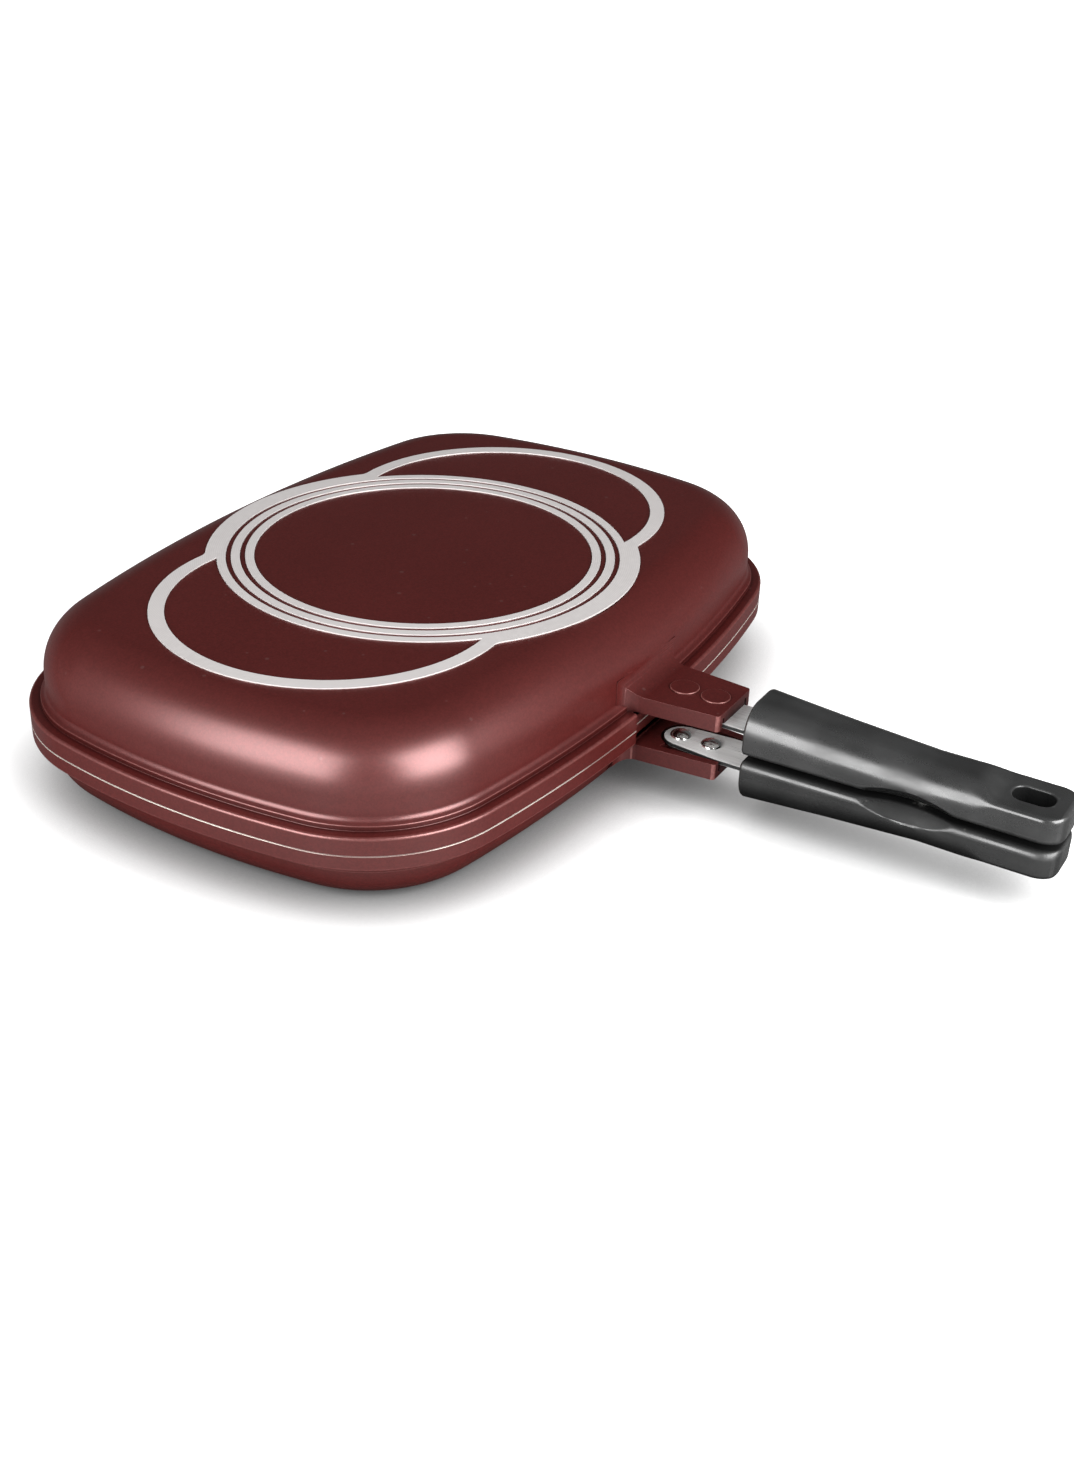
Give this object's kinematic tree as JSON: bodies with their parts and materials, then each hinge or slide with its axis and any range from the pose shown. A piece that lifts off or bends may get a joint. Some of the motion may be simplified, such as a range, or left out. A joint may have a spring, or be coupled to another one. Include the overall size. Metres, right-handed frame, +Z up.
{
  "type": "double sided flip pan",
  "caption": "Two shallow rounded-rectangle cast pans hinged along one long side, grill ribs inside one half, paired moulded grips with hang slots on the other side.",
  "frame": {"origin": "centre of the lower half's machined base rings, on the surface that the pan stands on", "axes": "+X to the right along the long axis, +Y towards the hinge, the grips towards -Y, +Z up"},
  "size_m": [0.36, 0.4525, 0.0767],
  "materials": {
    "cast_pan": "satin maroon coating outside, dark non-stick coating inside, bare machined rings on the bases",
    "silicone": "matte",
    "steel": "satin",
    "moulding": "fine matte grain",
    "brass": "machined",
    "magnet": "nickel plated"
  },
  "bodies": {
    "lower_half": {"lower_pan": "cast_pan", "seal_ring": "silicone", "hinge_pin_left": "steel", "hinge_pin_right": "steel", "hinge_clip_left": "steel", "hinge_clip_right": "steel", "lower_strap": "steel", "lower_rivet_inner": "steel", "lower_rivet_outer": "steel", "lower_grip": "moulding", "lower_grip_screw": "steel", "lower_grip_insert": "brass", "lower_magnet": "magnet"},
    "upper_half": {"upper_pan": "cast_pan", "upper_strap": "steel", "upper_rivet_inner": "steel", "upper_rivet_outer": "steel", "upper_grip": "moulding", "upper_grip_screw": "steel", "upper_grip_insert": "brass", "upper_magnet": "magnet"}
  },
  "joints": [
    {"name": "flip_hinge", "type": "hinge", "parent": "lower_half", "child": "upper_half", "pos_m": [0, 0.139, 0.031], "axis": [-1, 0, 0], "range_deg": [0, 160]}
  ]
}
